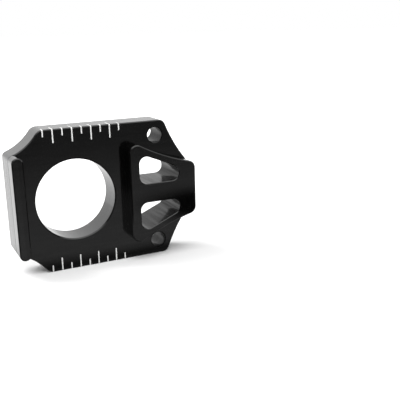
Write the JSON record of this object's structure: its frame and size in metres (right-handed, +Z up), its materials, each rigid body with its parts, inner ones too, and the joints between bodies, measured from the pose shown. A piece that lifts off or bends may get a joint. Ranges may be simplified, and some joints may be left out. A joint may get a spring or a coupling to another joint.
{
  "type": "motorcycle chain adjuster",
  "caption": "Axle block with a large bore, a raised tapered boss with two windows, a low lip and index marks along both long edges.",
  "frame": {"origin": "on the axle bore's axis, at the flat back face", "axes": "+X along the block from the lip to the boss end, +Y out of the back face so that the stepped front face looks to -Y, +Z up across the block's height"},
  "size_m": [0.0588, 0.0145, 0.045],
  "materials": {
    "black_anodised": "satin black anodised over milled aluminium",
    "index_white": "matt white paint filled into the index grooves"
  },
  "bodies": {
    "root": {"adjuster_block": "black_anodised"}
  },
  "joints": []
}
